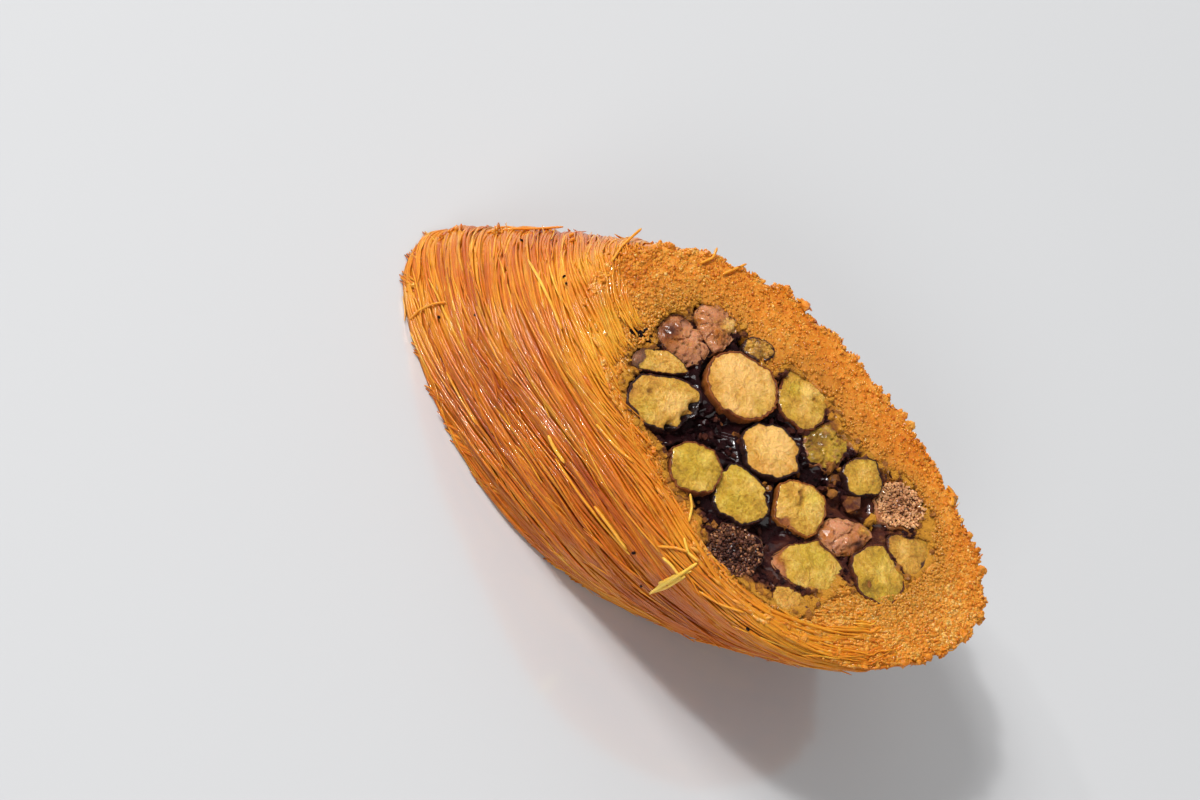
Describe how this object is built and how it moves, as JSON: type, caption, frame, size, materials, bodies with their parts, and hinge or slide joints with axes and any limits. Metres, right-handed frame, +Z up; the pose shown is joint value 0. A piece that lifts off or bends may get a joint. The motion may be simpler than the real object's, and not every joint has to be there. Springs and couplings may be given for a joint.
{
  "type": "shredded pastry roll slice with pistachio filling",
  "caption": "Slanting slice of a baked shredded-pastry roll in syrup: a shell of fine golden strands wound round a filling of whole pistachios in dark paste.",
  "frame": {"origin": "on the surface that the lower cut rests on, under the middle of the piece's box", "axes": "+X along the length of the cuts, the way the roll leans as it rises; +Y across the cuts; +Z up, out of the upper cut"},
  "size_m": [0.0852, 0.0429, 0.0252],
  "materials": {
    "pastry": "golden-orange baked strands with a thin coat of syrup",
    "paste": "dark, sticky and glossy",
    "pistachio": "moist cut nut, yellow-green to golden",
    "pistachio_skin": "wrinkled brown skin"
  },
  "bodies": {
    "root": {"pastry_shell": "pastry", "filling_paste": "paste", "pistachio_upper_01": "pistachio", "pistachio_upper_02": "pistachio", "pistachio_upper_03": "pistachio", "pistachio_upper_04": "pistachio", "pistachio_upper_05": "pistachio", "pistachio_upper_06": "pistachio", "pistachio_upper_07": "pistachio", "pistachio_upper_08": "pistachio", "pistachio_upper_09": "pistachio", "pistachio_upper_10": "pistachio_skin", "pistachio_upper_11": "pistachio", "pistachio_upper_12": "pistachio", "pistachio_upper_13": "pistachio", "pistachio_upper_14": "pistachio_skin", "pistachio_upper_15": "pistachio_skin", "pistachio_upper_16": "pistachio_skin", "pistachio_upper_17": "pistachio_skin", "pistachio_upper_18": "pistachio_skin", "pistachio_upper_19": "pistachio", "pistachio_upper_20": "pistachio", "pistachio_lower_01": "pistachio", "pistachio_lower_02": "pistachio", "pistachio_lower_03": "pistachio", "pistachio_lower_04": "pistachio", "pistachio_lower_05": "pistachio", "pistachio_lower_06": "pistachio", "pistachio_lower_07": "pistachio", "pistachio_lower_08": "pistachio_skin", "pistachio_lower_09": "pistachio", "pistachio_lower_10": "pistachio", "pistachio_lower_11": "pistachio_skin", "pistachio_lower_12": "pistachio_skin", "pistachio_lower_13": "pistachio"}
  },
  "joints": []
}
